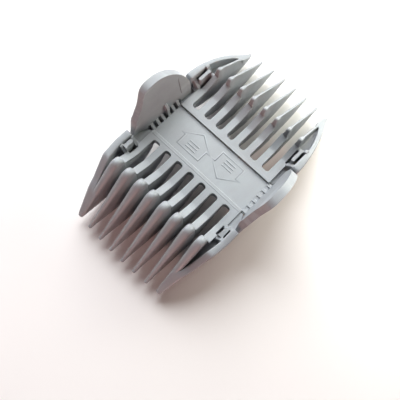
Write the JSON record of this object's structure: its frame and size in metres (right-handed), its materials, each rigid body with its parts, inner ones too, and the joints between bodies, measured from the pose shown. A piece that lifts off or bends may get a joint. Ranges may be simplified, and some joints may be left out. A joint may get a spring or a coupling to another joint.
{
  "type": "clipper guide comb",
  "caption": "Two-ended slip-on guide comb for a hair clipper, with a slotted seat, long tapered teeth at both ends and two flexing grip ears.",
  "frame": {"origin": "centre of the sunk floor between the two rows of slots, on its upper surface", "axes": "+X across the teeth, +Y along the teeth towards the end with the shorter guide length, +Z away from the skin, towards the clipper"},
  "size_m": [0.0532, 0.0833, 0.027],
  "materials": {
    "shell": "satin moulded",
    "teeth": "satin moulded",
    "ears": "satin moulded",
    "marks": "satin moulded, embossed"
  },
  "bodies": {
    "comb": {"seat_panel": "shell", "arrow_marks": "marks", "near_bar": "shell", "far_bar": "shell", "near_tooth_1": "teeth", "near_tooth_2": "teeth", "near_tooth_3": "teeth", "near_tooth_4": "teeth", "near_tooth_5": "teeth", "near_tooth_6": "teeth", "near_tooth_7": "teeth", "near_tooth_8": "teeth", "far_tooth_1": "teeth", "far_tooth_2": "teeth", "far_tooth_3": "teeth", "far_tooth_4": "teeth", "far_tooth_5": "teeth", "far_tooth_6": "teeth", "far_tooth_7": "teeth", "far_tooth_8": "teeth", "near_cross_walls": "shell", "far_cross_walls": "shell", "near_left_wall": "shell", "near_right_wall": "shell", "far_left_wall": "shell", "far_right_wall": "shell", "left_foot_ribs": "shell", "right_foot_ribs": "shell"},
    "near_left_snap_finger": {"near_left_snap_finger": "shell"},
    "near_right_snap_finger": {"near_right_snap_finger": "shell"},
    "far_left_snap_finger": {"far_left_snap_finger": "shell"},
    "far_right_snap_finger": {"far_right_snap_finger": "shell"},
    "left_ear": {"left_ear": "ears"},
    "right_ear": {"right_ear": "ears"}
  },
  "joints": [
    {"name": "left_ear_flex", "type": "hinge", "parent": "comb", "child": "left_ear", "pos_m": [-0.0202, 0, -0.001], "axis": [0, -1, 0], "range_deg": [-2, 6], "stiffness_Nm_per_rad": 0.8},
    {"name": "right_ear_flex", "type": "hinge", "parent": "comb", "child": "right_ear", "pos_m": [0.0202, 0, -0.001], "axis": [0, 1, 0], "range_deg": [-2, 6], "stiffness_Nm_per_rad": 0.8},
    {"name": "near_left_snap_flex", "type": "hinge", "parent": "comb", "child": "near_left_snap_finger", "pos_m": [-0.0201, -0.0175, 0], "axis": [0, 0, 1], "range_deg": [-3, 3], "stiffness_Nm_per_rad": 0.08},
    {"name": "near_right_snap_flex", "type": "hinge", "parent": "comb", "child": "near_right_snap_finger", "pos_m": [0.0201, -0.0175, 0], "axis": [0, 0, -1], "range_deg": [-3, 3], "stiffness_Nm_per_rad": 0.08},
    {"name": "far_left_snap_flex", "type": "hinge", "parent": "comb", "child": "far_left_snap_finger", "pos_m": [-0.0201, 0.0201, 0], "axis": [0, 0, -1], "range_deg": [-3, 3], "stiffness_Nm_per_rad": 0.08},
    {"name": "far_right_snap_flex", "type": "hinge", "parent": "comb", "child": "far_right_snap_finger", "pos_m": [0.0201, 0.0201, 0], "axis": [0, 0, 1], "range_deg": [-3, 3], "stiffness_Nm_per_rad": 0.08}
  ]
}
